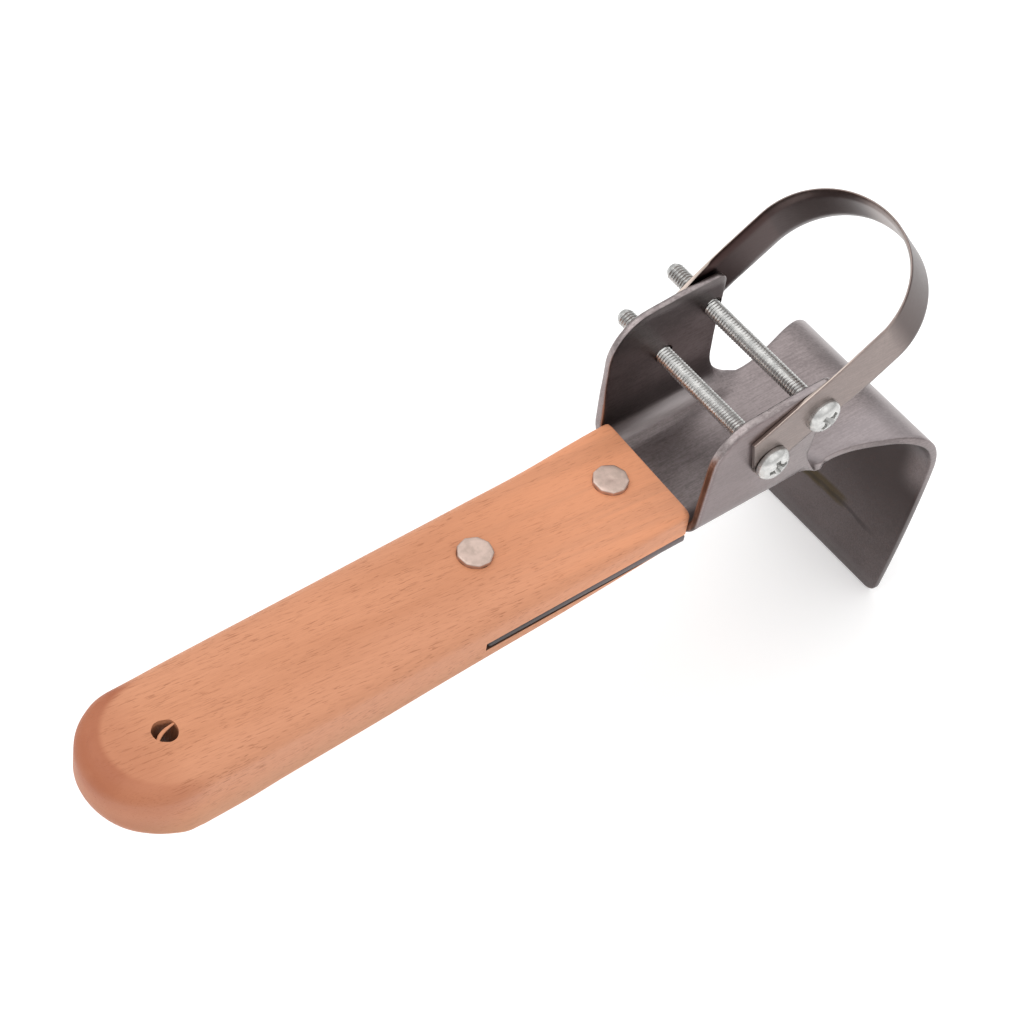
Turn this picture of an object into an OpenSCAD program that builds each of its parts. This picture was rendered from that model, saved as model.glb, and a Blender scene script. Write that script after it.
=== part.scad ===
// Hoof knife with a loop blade and a hook blade on a wooden handle.
// Millimetres. X runs from the butt to the blades, Z is up, and the origin is
// on the axis of the hanging hole, 8 mm below the flat top of the wood.

/* [Handle] */
// distance from the hanging hole to the front end of the wood
handle_front = 119.5; // [110:0.5:130]
// distance from the hanging hole back to the round butt
butt_reach = 17.3; // [16.5:0.1:19]
// width of the wood
handle_width = 28.4; // [26:0.2:32]
// thickness of the wood at the butt
handle_thick = 16.8; // [16:0.2:18]
// thickness of the wood at its front end
front_thick = 10.4; // [10:0.2:12]
// radius along the upper edges of the wood
edge_radius = 3.2; // [1.5:0.1:4]
// radius along the lower edges of the wood
low_radius = 5; // [3:0.2:5]
// upper radius of the butt, seen from the side
butt_top = 4.8; // [4:0.2:6]
// lower radius of the butt, seen from the side
butt_low = 9.8; // [8:0.2:10]
// slant of the front end of the wood, in degrees
front_slant = 2.6; // [0:0.2:4]
// diameter of the hanging hole
hang_hole = 5.2; // [4:0.2:8]
// distance from the hanging hole's axis to the centre plane of the tool
hole_offset = 0.6; // [-1:0.1:1]

/* [Steel sheet] */
// thickness of the folded sheet
sheet = 2; // [1.5:0.1:2.5]
// depth of the sheet's upper face below the top of the wood
tang_depth = 6.3; // [5.5:0.1:7]
// length of the tang inside the wood
tang_length = 50; // [42:1:60]
// inside half width of the channel at its floor
channel_half = 14.7; // [14.4:0.1:17]
// outward lean of each ear, in degrees
ear_lean = 2.6; // [0:0.2:5]
// outer radius of the two channel bends
channel_bend = 8; // [5:0.5:9]
// height of the ears above the floor
ear_height = 32.3; // [30:0.5:36]
// length of the ears along the tool
ear_length = 30.4; // [28:0.2:34]
// distance from the front of the wood to the start of the hook bend
plate_length = 54.9; // [50:0.5:60]
// outer radius of the hook bend
hook_bend = 13; // [8:0.5:15]
// depth of the hook blade below the plate
hook_depth = 54; // [40:1:60]
// backward slant of the hook blade, in degrees
hook_slant = 9; // [0:1:15]
// width of the hook blade
hook_width = 41; // [38:0.5:46]

/* [Loop blade] */
// thickness of the strip
strip = 1; // [0.8:0.1:1.2]
// width of the strip
strip_width = 13.9; // [12:0.1:18]
// rise of the loop above the handle's direction, in degrees
loop_tilt = 29; // [25:1:33]
// outer radius of the round front of the loop
loop_radius = 19; // [19:0.1:20]
// distance along the strip from the lower screw to the centre of the round front
loop_reach = 33.8; // [30:0.1:45]

/* [Fasteners] */
// diameter of the screws' thread
screw_dia = 4; // [3.5:0.1:4.2]
// length of the screws under the head
screw_length = 48; // [46:1:50]
// distance between the two screws
screw_pitch = 14; // [12:0.1:15]
// diameter of the screws' pan heads
head_dia = 7.9; // [7:0.1:8.4]
// diameter of the rivets' heads
rivet_head = 7.3; // [6.5:0.1:8]

/* [Hidden] */
$fn = 96;

half = handle_width / 2;
top = 8;
base = top - handle_thick;
floor_top = top - tang_depth;
floor_low = floor_top - sheet;
// centre of the butt's larger rounding
butt_x = -0.6;
// the underside rises in two straight stretches
rise_start = 13;
rise_knee = 87;
knee_low = base + 3.8;
front_low = top - front_thick;
rear_angle = atan((knee_low - base) / (rise_knee - rise_start));
fore_angle = atan((front_low - knee_low) / (handle_front - rise_knee));

rivet_rear_x = handle_front - 44.2;
rivet_front_x = handle_front - 9.2;
rivet_side = 1.3;
rivet_shank = 4;
rivet_cap = 1;

ear_x0 = handle_front - 0.6;
ear_x1 = ear_x0 + ear_length;
ear_top = floor_top + ear_height;
plate_end = handle_front + plate_length;

screw_x = handle_front + 14.9;
screw_z = top + 10.8;
screw2_x = screw_x + screw_pitch * cos(loop_tilt + 1.4);
screw2_z = screw_z + screw_pitch * sin(loop_tilt + 1.4);
// height of the strip's lower edge below the lower screw, across the strip
strip_drop = 3.5;
end_radius = 4.1;
head_high = 2.6;
nut_wide = 7;
nut_high = 3.2;
head_y = -loop_radius;
nut_y = loop_radius;

wood = [0.80, 0.55, 0.36];
steel = [0.55, 0.52, 0.51];
zinc = [0.80, 0.80, 0.78];
nickel = [0.66, 0.63, 0.60];

// rounded section of half width w, from height z0 to z1
module bar_section(w, z0, z1, low, up) {
    translate([-w, z0 + low]) square([2 * w, z1 - z0 - low - up]);
    translate([-w + low, z0]) square([2 * (w - low), z1 - z0 - up]);
    translate([-w + up, z1 - 10]) square([2 * (w - up), 10]);
    for (a = [-1, 1]) {
        translate([a * (w - low), z0 + low]) circle(low);
        translate([a * (w - up), z1 - up]) circle(up);
    }
}

module bar(z0, z1, x0, x1)
    translate([x0, 0, 0]) rotate([90, 0, 90]) linear_extrude(x1 - x0)
        bar_section(half, z0, z1, low_radius, edge_radius);

// the same section turned about an upright axis
module turned(w, low, up)
    rotate_extrude() intersection() {
        bar_section(w, base, top, low, up);
        translate([0, -30]) square([60, 60]);
    }

// the wood before any cut: rounded bars give the flat top and the rising underside
module wood_blank() {
    wide = butt_reach + butt_x;
    intersection() {
        translate([rise_start, 0, base]) rotate([0, -rear_angle, 0]) bar(0, 40, -60, 150);
        translate([rise_knee, 0, knee_low]) rotate([0, -fore_angle, 0]) bar(0, 40, -130, 80);
        union() {
            bar(base, top, half - butt_reach, handle_front + 10);
            translate([half - butt_reach, 0, 0]) turned(half, low_radius, edge_radius);
        }
        // larger rounding of the butt, up to the hanging hole
        union() {
            translate([butt_x, 0, 0]) turned(wide, butt_low, butt_top);
            translate([butt_x, -wide, base - 10]) cube([200, 2 * wide, 40]);
        }
    }
}

module handle()
    color(wood) difference() {
        translate([0, hole_offset, 0]) wood_blank();
        // slanted front end
        translate([handle_front, hole_offset, 0]) rotate([0, 0, -front_slant])
            translate([0, -40, -30]) cube([40, 80, 60]);
        // hanging hole
        translate([0, 0, -20]) cylinder(d = hang_hole, h = 40);
        // saw kerf
        translate([handle_front - tang_length - 2.5, -40, floor_low])
            cube([tang_length + 40, 80, sheet]);
        // rivet holes with spot faces for the lower heads
        for (x = [rivet_rear_x, rivet_front_x]) {
            translate([x, rivet_side + hole_offset, -20]) cylinder(d = rivet_shank, h = 40);
            translate([x, rivet_side + hole_offset, -20])
                cylinder(d = rivet_head + 0.2, h = 20 + rivet_floor(x));
        }
    }

// height of the spot face under a rivet
function rivet_floor(x) = x < 100 ? knee_low + 0.1 : front_low - 0.1;

// half of the channel's section, grown outwards by g from its inner face
module channel_shape(g) {
    r = channel_bend - sheet + g;
    cy = channel_half - (channel_bend - sheet);
    cz = floor_top + channel_bend - sheet;
    long = 60;
    tx = cy + r * cos(ear_lean);
    tz = cz - r * sin(ear_lean);
    ux = tx + long * sin(ear_lean);
    uz = tz + long * cos(ear_lean);
    polygon([[-cy, cz - r], [cy, cz - r], [tx, tz], [ux, uz], [-ux, uz], [-tx, tz]]);
    for (a = [-1, 1]) translate([a * cy, cz]) circle(r);
}

module channel()
    intersection() {
        translate([ear_x0, 0, 0]) rotate([90, 0, 90]) linear_extrude(60)
            difference() {
                channel_shape(sheet);
                channel_shape(0);
            }
        // side view of the ears, with the curve that runs into the plate
        rotate([90, 0, 0]) linear_extrude(80, center = true)
            difference() {
                union() {
                    polygon([[ear_x0, floor_low - 1], [ear_x1 + 8, floor_low - 1],
                        [ear_x1 + 8, floor_top + 2], [ear_x1 - 1.3, floor_top + 10],
                        [ear_x1, ear_top - 2.5], [ear_x1 - 2.5, ear_top],
                        [ear_x0 + 14, ear_top - 0.2], [ear_x0 + 10.5, ear_top - 0.5],
                        [ear_x0 + 10.5, ear_top - 10.5], [ear_x0, ear_top - 10.5]]);
                    translate([ear_x0 + 10, ear_top - 10.5]) circle(10);
                    translate([ear_x1 - 2.5, ear_top - 2.5]) circle(2.5);
                }
                translate([ear_x1 + 7, floor_top + 10]) circle(8.3);
            }
    }

// side view of the plate and the hook bend
module plate_side() {
    cz = floor_top - hook_bend;
    translate([ear_x1 - 20, floor_low]) square([plate_end - ear_x1 + 20, sheet]);
    intersection() {
        translate([plate_end, cz]) difference() {
            circle(hook_bend);
            circle(hook_bend - sheet);
        }
        translate([plate_end, cz]) polygon([[0, 0], [0, 40], [40, 40],
            [40 * cos(hook_slant), -40 * sin(hook_slant)]]);
    }
}

// what is cut from one side of the plate, seen from above, so that it flares to the hook
module plate_cut() {
    n = channel_half - 0.1;
    w = hook_width / 2;
    polygon([[ear_x1 - 30, n - 3], [ear_x1 - 1, n - 3], [ear_x1 + 2, n], [plate_end - 10, n],
        [plate_end - 6, n + 0.8], [plate_end - 2, n + 2], [plate_end + 2, n + 3.8],
        [plate_end + 6, w - 0.7], [plate_end + 12, w + 0.4], [plate_end + 12, w + 20],
        [ear_x1 - 30, w + 20]]);
}

// side view of the hook blade, ground on its inner face
module blade_side() {
    long = hook_depth - hook_bend;
    translate([plate_end, floor_top - hook_bend]) rotate(-hook_slant)
        polygon([[hook_bend - sheet, 0], [hook_bend - sheet, -long + 4],
            [hook_bend - 0.4, -long], [hook_bend, -long], [hook_bend, 0]]);
}

// cuts that round the lower corners of the hook blade
module blade_corners() {
    low = hook_bend - hook_depth;
    w = hook_width / 2;
    r = 4;
    translate([plate_end, 0, floor_top - hook_bend]) rotate([0, hook_slant, 0])
        rotate([90, 0, 90]) linear_extrude(40) for (a = [-1, 1]) difference() {
            translate([a * w - r, low - r]) square(2 * r);
            translate([a * (w - r), low + r]) circle(r);
        }
}

module hook()
    difference() {
        rotate([90, 0, 0]) linear_extrude(hook_width, center = true) {
            plate_side();
            blade_side();
        }
        for (a = [0, 1]) mirror([0, a, 0])
            translate([0, 0, floor_top - hook_bend + 3]) linear_extrude(60) plate_cut();
        blade_corners();
    }

module tool_frame()
    color(steel) difference() {
        translate([0, hole_offset, 0]) union() {
            // tang, as wide as the wood
            translate([handle_front - tang_length, -half, floor_low])
                cube([tang_length, 2 * half, sheet]);
            translate([handle_front - 2, -channel_half + 4, floor_low])
                cube([20, 2 * channel_half - 8, sheet]);
            channel();
            hook();
        }
        // rivet holes
        for (x = [rivet_rear_x, rivet_front_x])
            translate([x, rivet_side + hole_offset, -20]) cylinder(d = rivet_shank, h = 40);
        // screw holes through both ears
        for (p = [[screw_x, screw_z], [screw2_x, screw2_z]])
            translate([p[0], 0, p[1]]) rotate([90, 0, 0])
                cylinder(d = screw_dia + 0.6, h = 80, center = true);
    }

// outline of the strip seen along its width, s along the strip from the lower screw
module loop_path() {
    r = loop_radius;
    difference() {
        union() {
            translate([loop_reach, 0]) circle(r);
            translate([-14, -r]) square([loop_reach + 14, 2 * r]);
        }
        translate([loop_reach, 0]) circle(r - strip);
        translate([-20, -r + strip]) square([loop_reach + 20, 2 * (r - strip)]);
    }
}

module loop_blade()
    color(steel) translate([0, hole_offset, 0]) difference() {
        translate([screw_x, 0, screw_z]) rotate([0, -loop_tilt, 0]) intersection() {
            translate([0, 0, -strip_drop]) linear_extrude(strip_width) loop_path();
            // strip ends, rounded around the lower screw
            rotate([90, 0, 0]) linear_extrude(80, center = true) {
                circle(end_radius);
                polygon([[0, -20], [90, -20], [90, 20], [0.9, 20],
                    [-end_radius * cos(14.3), end_radius * sin(14.3)], [0, 0]]);
            }
        }
        for (p = [[screw_x, screw_z], [screw2_x, screw2_z]])
            translate([p[0], 0, p[1]]) rotate([90, 0, 0])
                cylinder(d = screw_dia + 0.4, h = 80, center = true);
    }

module rivet(x)
    color(nickel) translate([x, rivet_side + hole_offset, 0]) {
        low = rivet_floor(x);
        translate([0, 0, low]) cylinder(d = rivet_shank, h = top - low);
        translate([0, 0, top]) cylinder(d1 = rivet_head, d2 = rivet_head - 0.8, h = rivet_cap);
        translate([0, 0, low - rivet_cap])
            cylinder(d1 = rivet_head - 0.8, d2 = rivet_head, h = rivet_cap);
    }

module rivet_rear() rivet(rivet_rear_x);
module rivet_front() rivet(rivet_front_x);

// machine screw with its head on the near side, its axis along Y
module screw(x, z, turn)
    color(zinc) translate([x, hole_offset + head_y, z]) rotate([-90, 0, 0]) {
        cylinder(d = screw_dia, h = screw_length - 0.6);
        translate([0, 0, screw_length - 0.6])
            cylinder(d1 = screw_dia, d2 = screw_dia - 1, h = 0.6);
        difference() {
            rotate_extrude() polygon([[0, 0], [head_dia / 2, 0], [head_dia / 2, -0.7],
                [head_dia / 2 - 0.35, -1.5], [head_dia / 2 - 1.1, -2.2],
                [head_dia / 2 - 2.2, -head_high], [0, -head_high]]);
            // cross recess
            rotate([0, 0, turn]) translate([0, 0, -head_high]) {
                cube([4.2, 0.9, 3], center = true);
                cube([0.9, 4.2, 3], center = true);
            }
        }
    }

module screw_lower() screw(screw_x, screw_z, 20);
module screw_upper() screw(screw2_x, screw2_z, 65);

module nut(x, z, turn)
    color(zinc) translate([x, hole_offset + nut_y, z]) rotate([-90, turn, 0])
        difference() {
            linear_extrude(nut_high) circle(d = nut_wide / cos(30), $fn = 6);
            translate([0, 0, -1]) cylinder(d = screw_dia, h = nut_high + 2);
        }

module nut_lower() nut(screw_x, screw_z, 0);
module nut_upper() nut(screw2_x, screw2_z, 0);

handle();
tool_frame();
loop_blade();
rivet_rear();
rivet_front();
screw_lower();
screw_upper();
nut_lower();
nut_upper();
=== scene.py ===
import math

import bmesh
import bpy
from mathutils import Matrix, Vector, noise
from mathutils.geometry import delaunay_2d_cdt


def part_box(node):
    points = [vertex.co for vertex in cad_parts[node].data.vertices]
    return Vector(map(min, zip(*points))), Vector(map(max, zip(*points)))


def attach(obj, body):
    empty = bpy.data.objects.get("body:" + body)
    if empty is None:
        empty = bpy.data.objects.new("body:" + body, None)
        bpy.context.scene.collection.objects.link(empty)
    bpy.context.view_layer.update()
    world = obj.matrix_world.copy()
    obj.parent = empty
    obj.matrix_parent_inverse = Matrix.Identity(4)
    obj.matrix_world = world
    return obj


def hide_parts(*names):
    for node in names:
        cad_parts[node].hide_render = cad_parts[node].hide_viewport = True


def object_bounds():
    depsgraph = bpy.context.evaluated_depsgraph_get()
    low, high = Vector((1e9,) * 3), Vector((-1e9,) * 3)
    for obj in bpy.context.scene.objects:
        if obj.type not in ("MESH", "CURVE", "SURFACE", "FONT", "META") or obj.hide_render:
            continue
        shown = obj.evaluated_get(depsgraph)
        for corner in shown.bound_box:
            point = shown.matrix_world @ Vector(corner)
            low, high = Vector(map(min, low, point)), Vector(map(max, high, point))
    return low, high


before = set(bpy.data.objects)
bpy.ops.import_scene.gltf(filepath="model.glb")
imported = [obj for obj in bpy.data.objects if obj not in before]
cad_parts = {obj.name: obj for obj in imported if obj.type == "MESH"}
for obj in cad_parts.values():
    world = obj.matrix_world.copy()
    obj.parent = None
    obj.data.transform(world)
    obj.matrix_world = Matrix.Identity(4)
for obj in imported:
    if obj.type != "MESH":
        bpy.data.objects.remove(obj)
cad_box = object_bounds()

# Every mesh size below is in millimetres, in the CAD frame: X from butt to blades, Z up.
# Materials, lights and camera are in metres, in the same frame.
MM = 0.001


def node_box(node):
    """Lowest and highest corner of a CAD node, in millimetres."""
    low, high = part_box(node)
    return Vector(low) / MM, Vector(high) / MM


WOOD_LOW, WOOD_HIGH = node_box("handle")
MID = (WOOD_LOW.y + WOOD_HIGH.y) / 2
HALF = (WOOD_HIGH.y - WOOD_LOW.y) / 2
TOP = WOOD_HIGH.z
BASE = WOOD_LOW.z
BUTT = WOOD_LOW.x
FRONT = 119.5
SHEET = 2.0
CHANNEL_DROP = 6.3
FLOOR_MID = TOP - CHANNEL_DROP - SHEET / 2
TILT = math.radians(29)
LOOP_R = 19.0
CROSS_HOLE_R = 2.2
RIVET_R = 2.0
RIVETS = ("rivet_rear", "rivet_front")


def screw_axis(node):
    low, high = node_box(node)
    return (low.x + high.x) / 2, (low.z + high.z) / 2


def rivet_axis(node):
    low, high = node_box(node)
    return (low.x + high.x) / 2, (low.y + high.y) / 2


def circle(x, y, radius, count):
    """Evenly spaced points of a circle."""
    return [(x + radius * math.cos(a), y + radius * math.sin(a))
            for a in (2 * math.pi * k / count for k in range(count))]


LOWER = screw_axis("screw_lower")
UPPER = screw_axis("screw_upper")


# ---------------------------------------------------------------- meshes

def finish_piece(name, bm, material, node, sharp=35.0):
    """Turns a bmesh in millimetres into a piece that stands for a CAD node."""
    bmesh.ops.remove_doubles(bm, verts=bm.verts, dist=1e-4)
    bmesh.ops.recalc_face_normals(bm, faces=bm.faces)
    mesh = bpy.data.meshes.new(name)
    bm.to_mesh(mesh)
    bm.free()
    mesh.transform(Matrix.Scale(MM, 4))
    mesh.shade_smooth()
    mesh.set_sharp_from_angle(angle=math.radians(sharp))
    piece = bpy.data.objects.new(name, mesh)
    bpy.context.scene.collection.objects.link(piece)
    mesh.materials.append(material)
    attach(piece, "root")
    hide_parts(node)
    return piece


def rings_to_mesh(bm, rings, closed=True, cap_start=True, cap_end=True):
    """Joins rings of points with quads, with a fan at each end."""
    rows = [[bm.verts.new(p) for p in ring] for ring in rings]
    count = len(rows[0])
    last = count if closed else count - 1
    for a, b in zip(rows, rows[1:]):
        for i in range(last):
            j = (i + 1) % count
            bm.faces.new((a[i], a[j], b[j], b[i]))
    for wanted, row in ((cap_start, rows[0]), (cap_end, rows[-1])):
        if wanted:
            centre = bm.verts.new(sum((v.co for v in row), Vector()) / count)
            for i in range(count):
                bm.faces.new((row[i], row[(i + 1) % count], centre))
    return rows


def cut(bm, cutters):
    """Cuts closed bmeshes out of a closed bmesh and returns the result."""
    def link(source, name):
        mesh = bpy.data.meshes.new(name)
        bmesh.ops.recalc_face_normals(source, faces=source.faces)
        source.to_mesh(mesh)
        source.free()
        made = bpy.data.objects.new(name, mesh)
        bpy.context.scene.collection.objects.link(made)
        return made

    body = link(bm, "cut_body")
    tools = [link(c, "cut_tool") for c in cutters]
    for tool in tools:
        boolean = body.modifiers.new("cut", "BOOLEAN")
        boolean.operation = "DIFFERENCE"
        boolean.solver = "EXACT"
        boolean.object = tool
    evaluated = body.evaluated_get(bpy.context.evaluated_depsgraph_get())
    result = bmesh.new()
    result.from_mesh(evaluated.to_mesh())
    evaluated.to_mesh_clear()
    for made in [body] + tools:
        mesh = made.data
        bpy.data.objects.remove(made)
        bpy.data.meshes.remove(mesh)
    return result


def box_mesh(low, high):
    bm = bmesh.new()
    bmesh.ops.create_cube(bm, size=1.0)
    size = Vector(high) - Vector(low)
    for v in bm.verts:
        v.co = Vector(low) + Vector((0.5 + c for c in v.co)) * size
    return bm


def ease(t):
    t = min(1.0, max(0.0, t))
    return t * t * (3 - 2 * t)


def smooth_max(a, b, soft):
    h = max(soft - abs(a - b), 0.0) / soft
    return max(a, b) + h * h * soft / 4


# ---------------------------------------------------------------- wooden handle

EDGE_TOP = 3.2
EDGE_LOW = 4.2
BUTT_CENTRE = -0.6
BUTT_TOP = 4.8
BUTT_LOW = 9.3
RISE_START, RISE_KNEE = 13.0, 87.0
KNEE_LOW = BASE + 3.8
FRONT_LOW = TOP - 10.4
FRONT_SLANT = math.tan(math.radians(2.6))
ABOUT_HALF = 14
KERF_DEPTH = 52.5
KERF_PLAY = 0.06
HANG_R = 2.62
SPOT_FACE_R = 3.75


def underside(x):
    if x < RISE_START:
        return BASE
    if x < RISE_KNEE:
        return BASE + (KNEE_LOW - BASE) * (x - RISE_START) / (RISE_KNEE - RISE_START)
    return KNEE_LOW + (FRONT_LOW - KNEE_LOW) * (x - RISE_KNEE) / (FRONT - RISE_KNEE)


def rounded_depth(side, z, half, low, top, r_low, r_top):
    """Below zero inside a section with rounded corners; side is the distance from its middle."""
    if side > half - r_top and z > top - r_top:
        return math.hypot(side - half + r_top, z - top + r_top) - r_top
    if side > half - r_low and z < low + r_low:
        return math.hypot(side - half + r_low, z - low - r_low) - r_low
    return max(side - half, z - top, low - z)


def wood_depth(x, y, z):
    side = abs(y)
    centre = BUTT + HALF
    low = underside(x)
    radius = EDGE_LOW - 0.6 * ease((x - 60) / 60)
    upper = EDGE_TOP - 2.0 * ease((x - 92) / 26)
    around = side if x > centre else math.hypot(x - centre, y)
    depth = rounded_depth(around, z, HALF, low, TOP, radius, upper)
    if x < BUTT_CENTRE + 9:
        reach = BUTT_CENTRE - BUTT
        wide = math.hypot(min(x - BUTT_CENTRE, 0.0), y)
        fade = max(0.0, x - BUTT_CENTRE) * 0.6
        outer = rounded_depth(wide, z + fade, reach, low, TOP + 5 * fade, BUTT_LOW, BUTT_TOP)
        depth = smooth_max(depth, outer, 0.35)
    return depth


def section_rays(count):
    """Directions towards evenly spaced points of the handle's section."""
    w, h, r = HALF, (TOP - BASE) / 2, 4.0
    straight = [2 * (h - r), 2 * (w - r), 2 * (h - r), 2 * (w - r)]
    corner = r * math.pi / 2
    total = sum(straight) + 4 * corner
    centres = [(w - r, h - r), (-w + r, h - r), (-w + r, -h + r), (w - r, -h + r)]
    rays = []
    for k in range(count):
        d = total * k / count
        for side in range(4):
            if d < straight[side]:
                along = d - straight[side] / 2
                point = [(w, along), (-along, h), (-w, -along), (along, -h)][side]
                break
            d -= straight[side]
            if d < corner:
                angle = math.pi / 2 * side + d / r
                cx, cz = centres[side]
                point = (cx + r * math.cos(angle), cz + r * math.sin(angle))
                break
            d -= corner
        length = math.hypot(*point)
        rays.append((point[0] / length, point[1] / length))
    return rays


def wood_ring(x, rays, shrink=0.0):
    """Points where the rays leave the wood at x; the worn near side is a little fuller or slimmer."""
    middle = (TOP + underside(x)) / 2 + 0.6
    if x < BUTT_CENTRE:
        middle = 0.5
    ring = []
    for dy, dz in rays:
        near, far = 0.0, 30.0
        for _ in range(22):
            half = (near + far) / 2
            inside = wood_depth(x, dy * half, middle + dz * half) < 0
            near, far = (half, far) if inside else (near, half)
        reach = near * (1 - shrink / ABOUT_HALF)
        y, z = dy * reach, middle + dz * reach
        place = Vector((x * 0.05, y * 0.12, z * 0.12))
        wear = 1 - 0.055 * (noise.noise(place) + 0.5) / ABOUT_HALF
        slant = FRONT_SLANT * y * ease((x - 90) / 30)
        fuller = 0.011 * ease(x / 12) - 0.015 * ease((-x - 6) / 4)
        if y < 0:
            under = ease((3 - z) / 6)
            fuller = 0.016 * ease(x / 12) - 0.035 * under * max(0.0, 1 - abs(x + 11) / 7)
            fuller += 0.032 * under * ease((x + 7) / 5) * (1 - ease(x / 20))
        wide = wear * (1 + fuller)
        ring.append(Vector((x + slant, MID + y * wide, middle + (z - middle) * wear)))
    return ring


def rough_hole(x, y, radius, rough, low, high, seed):
    """Cutter for a drilled hole whose wall is a little torn."""
    bm = bmesh.new()
    rings = []
    levels = 26
    for k in range(levels + 1):
        z = low + (high - low) * k / levels
        ring = []
        for i in range(48):
            a = 2 * math.pi * i / 48
            place = Vector((math.cos(a) * 1.6 + seed, math.sin(a) * 1.6, z * 0.35))
            r = radius + rough * noise.noise(place)
            ring.append(Vector((x + r * math.cos(a), y + r * math.sin(a), z)))
        rings.append(ring)
    rings_to_mesh(bm, rings)
    return bm


def rough_ball(x, y, z, radius):
    """Cutter for a chipped corner."""
    bm = bmesh.new()
    bmesh.ops.create_icosphere(bm, subdivisions=4, radius=radius)
    for v in bm.verts:
        v.co *= 1 + 0.5 * noise.noise(v.co * 1.7)
        v.co += Vector((x, y, z))
    return bm


def handle_rings():
    """Sections of the wood: closer together round the butt, and drawn in at the front edge."""
    rays = section_rays(176)
    round_end = BUTT + HALF + 6
    steps = 34
    stations = 80
    rings = []
    for k in range(1, steps):
        x = BUTT + (round_end - BUTT) * (1 - math.cos(math.pi / 2 * k / steps))
        rings.append(wood_ring(x, rays))
    for k in range(stations + 1):
        x = round_end + (FRONT - 0.6 - round_end) * k / stations
        rings.append(wood_ring(x, rays))
    for back, shrink in ((0.3, 0.08), (0.1, 0.22), (0.0, 0.45)):
        rings.append(wood_ring(FRONT - back, rays, shrink))
    return rings


def handle_cutters():
    """Kerf, hanging hole, chipped corner and the bores and seats of the rivets."""
    kerf_low = FLOOR_MID - SHEET / 2 - KERF_PLAY
    kerf_high = FLOOR_MID + SHEET / 2 + KERF_PLAY
    cutters = [box_mesh((FRONT - KERF_DEPTH, -30, kerf_low), (FRONT + 9, 30, kerf_high)),
               rough_hole(0, 0, HANG_R, 0.28, BASE - 5, TOP + 5, 3.0),
               rough_ball(FRONT + 0.3, MID - HALF + 0.5, TOP - 0.8, 0.85)]
    for node in RIVETS:
        low = node_box(node)[0].z
        x, y = rivet_axis(node)
        cutters.append(rough_hole(x, y, 3.78, 0.12, TOP - 0.5, TOP + 4, x))
        cutters.append(rough_hole(x, y, RIVET_R, 0.0, low - 3, TOP - 0.3, x))
        cutters.append(rough_hole(x, y, SPOT_FACE_R, 0.1, low - 3, low + 1.0, x))
    return cutters


def splinter_rings():
    """A splinter of wood left across the mouth of the hanging hole."""
    section = ((1, 0), (0.6, 0.8), (-0.6, 0.8), (-1, 0), (0, -0.9))
    steps = 16
    rings = []
    for k in range(steps + 1):
        t = k / steps
        x, y = -2.6 + 5.8 * t, 0.8 - 2.1 * (1 - t) ** 3
        z = TOP - 0.3 - 0.35 * math.sin(math.pi * t)
        wide = 0.24 + 0.12 * math.sin(math.pi * min(1.0, 0.2 + t))
        rings.append([Vector((x - 0.5 * wide * c, y + wide * c, z + 0.5 * wide * s))
                      for c, s in section])
    return rings


def handle_mesh():
    bm = bmesh.new()
    rings_to_mesh(bm, handle_rings())
    body = cut(bm, handle_cutters())
    rings_to_mesh(body, splinter_rings())
    return body


# ---------------------------------------------------------------- folded sheet

EAR_REAR = FRONT - 0.6
EAR_LENGTH = 30.4
EAR_RISE = 32.3
EAR_FRONT = EAR_REAR + EAR_LENGTH
EAR_TOP = TOP - CHANNEL_DROP + EAR_RISE
CHANNEL_HALF = 14.7
BEND_INNER = 6.0
BEND_MID = BEND_INNER + SHEET / 2
BEND_START = CHANNEL_HALF - BEND_INNER
LEAN = math.radians(2.6)
BEND_ANGLE = math.pi / 2 - LEAN
BEND_END = BEND_START + BEND_MID * BEND_ANGLE
PLATE_END = FRONT + 53.0
HOOK_MID = 13.5
HOOK_ANGLE = math.radians(94)
HOOK_ARC = HOOK_MID * HOOK_ANGLE
BLADE_LENGTH = 40.3
BLADE_CURVE = math.radians(9) / BLADE_LENGTH
GROUND = 4.2
SHEET_END = PLATE_END + HOOK_ARC + BLADE_LENGTH
PLATE_HALF = 14.65
FLARE = 6.35
RIM = 0.28
MESH_STEP = 1.05


def curl_up(side, curl):
    """Place across and up, and lean, of a point of the blank where the ears are bent up."""
    if side <= BEND_START or curl <= 1e-3:
        return side, 0.0, 0.0
    radius = BEND_MID / curl
    angle = min((side - BEND_START) / radius, BEND_ANGLE)
    rest = side - BEND_START - angle * radius
    y = BEND_START + radius * math.sin(angle) + rest * math.cos(angle)
    z = radius * (1 - math.cos(angle)) + rest * math.sin(angle)
    return y, z, angle


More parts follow.
